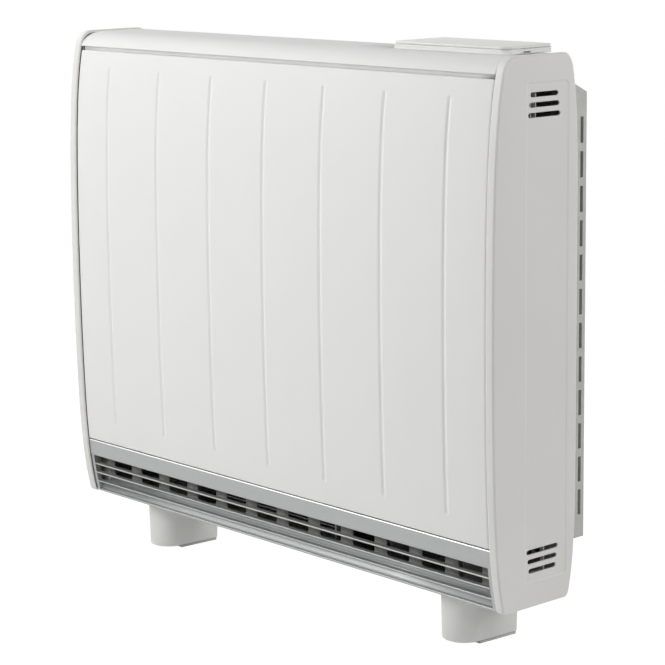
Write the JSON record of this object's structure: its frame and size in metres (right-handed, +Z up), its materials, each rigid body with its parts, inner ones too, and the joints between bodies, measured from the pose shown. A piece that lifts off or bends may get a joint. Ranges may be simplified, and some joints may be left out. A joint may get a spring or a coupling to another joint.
{
  "type": "storage heater",
  "caption": "Slim floor-standing storage heater with a bowed, ribbed front panel, moulded end caps, a low silver warm-air grille, round-fronted feet and a lidded control pod.",
  "frame": {"origin": "on the floor, under the middle of the heater's box", "axes": "+X to the right seen from the front, +Y from the front towards the wall, +Z up"},
  "size_m": [0.822, 0.171, 0.7284],
  "materials": {
    "white_paint": "semi-gloss stove enamel",
    "white_plastic": "moulded, fine satin",
    "pod_plastic": "moulded, satin",
    "silver_paint": "silver metallic paint, satin",
    "dark_sheet": "dark grey, dull",
    "zinc_sheet": "zinc-coated sheet",
    "brick": "dense fired brick, unglazed",
    "insulation": "pressed fibre board, chalky",
    "element_steel": "heat-tinted tube",
    "black_plastic": "matt",
    "foot_pad": "matt grey",
    "brass": "dull bearing bush",
    "circuit_board": "green laminate",
    "red_plastic": "matt",
    "display_window": "smoked clear window"
  },
  "bodies": {
    "heater": {"end_cap_left": "white_plastic", "end_cap_right": "white_plastic", "front_panel": "white_paint", "top_cover": "white_paint", "side_plate_left": "zinc_sheet", "side_plate_right": "zinc_sheet", "back_panel": "zinc_sheet", "base_tray": "zinc_sheet", "outlet_grille": "silver_paint", "outlet_screen": "dark_sheet", "screen_ledge": "dark_sheet", "outlet_deflector": "silver_paint", "deflector_screw_left": "zinc_sheet", "deflector_screw_right": "zinc_sheet", "foot_left": "white_plastic", "foot_right": "white_plastic", "foot_pad_left": "foot_pad", "foot_pad_right": "foot_pad", "wall_spacer_left": "zinc_sheet", "wall_spacer_right": "zinc_sheet", "wall_rail": "zinc_sheet", "core_stand": "zinc_sheet", "insulation_front": "insulation", "insulation_rear": "insulation", "insulation_left": "insulation", "insulation_right": "insulation", "insulation_top": "insulation", "insulation_base": "insulation", "brick_1_1": "brick", "brick_1_2": "brick", "brick_1_3": "brick", "brick_1_4": "brick", "brick_2_1": "brick", "brick_2_2": "brick", "brick_2_3": "brick", "brick_2_4": "brick", "heating_element_1": "element_steel", "heating_element_2": "element_steel", "fan_housing": "zinc_sheet", "fan_bearing": "brass", "fan_motor": "black_plastic", "damper_actuator": "black_plastic", "control_housing": "pod_plastic", "lid_hinge_pin": "zinc_sheet", "display_window": "display_window", "control_board": "circuit_board", "thermal_cutout": "black_plastic", "terminal_block": "white_plastic", "cable_gland": "black_plastic", "room_sensor": "silver_paint"},
    "lid": {"control_lid": "pod_plastic"},
    "fan": {"fan_rotor": "silver_paint"},
    "damper": {"damper_flap": "zinc_sheet"},
    "reset": {"reset_button": "red_plastic"},
    "key_mode": {"button_mode": "pod_plastic"},
    "key_down": {"button_down": "pod_plastic"},
    "key_up": {"button_up": "pod_plastic"},
    "key_clock": {"button_clock": "pod_plastic"},
    "key_boost": {"button_boost": "pod_plastic"}
  },
  "joints": [
    {"name": "lid_hinge", "type": "hinge", "parent": "heater", "child": "lid", "pos_m": [0.283, 0.0506, 0.7229], "axis": [-1, 0, 0], "range_deg": [0, 100]},
    {"name": "fan_spin", "type": "hinge", "parent": "heater", "child": "fan", "pos_m": [-0.06, 0.006, 0.1052], "axis": [1, 0, 0], "continuous": true},
    {"name": "damper_swing", "type": "hinge", "parent": "heater", "child": "damper", "pos_m": [-0.06, -0.012, 0.1508], "axis": [1, 0, 0], "range_deg": [0, 35], "stiffness_Nm_per_rad": 0.2, "springref_deg": -11.46},
    {"name": "reset_press", "type": "slide", "parent": "heater", "child": "reset", "axis": [-1, 0, 0], "range_m": [0, 0.0015], "stiffness_N_per_m": 600},
    {"name": "mode_press", "type": "slide", "parent": "heater", "child": "key_mode", "axis": [0, 0, -1], "range_m": [0, 0.0012], "stiffness_N_per_m": 500},
    {"name": "down_press", "type": "slide", "parent": "heater", "child": "key_down", "axis": [0, 0, -1], "range_m": [0, 0.0012], "stiffness_N_per_m": 500},
    {"name": "up_press", "type": "slide", "parent": "heater", "child": "key_up", "axis": [0, 0, -1], "range_m": [0, 0.0012], "stiffness_N_per_m": 500},
    {"name": "clock_press", "type": "slide", "parent": "heater", "child": "key_clock", "axis": [0, 0, -1], "range_m": [0, 0.0012], "stiffness_N_per_m": 500},
    {"name": "boost_press", "type": "slide", "parent": "heater", "child": "key_boost", "axis": [0, 0, -1], "range_m": [0, 0.0012], "stiffness_N_per_m": 500}
  ]
}
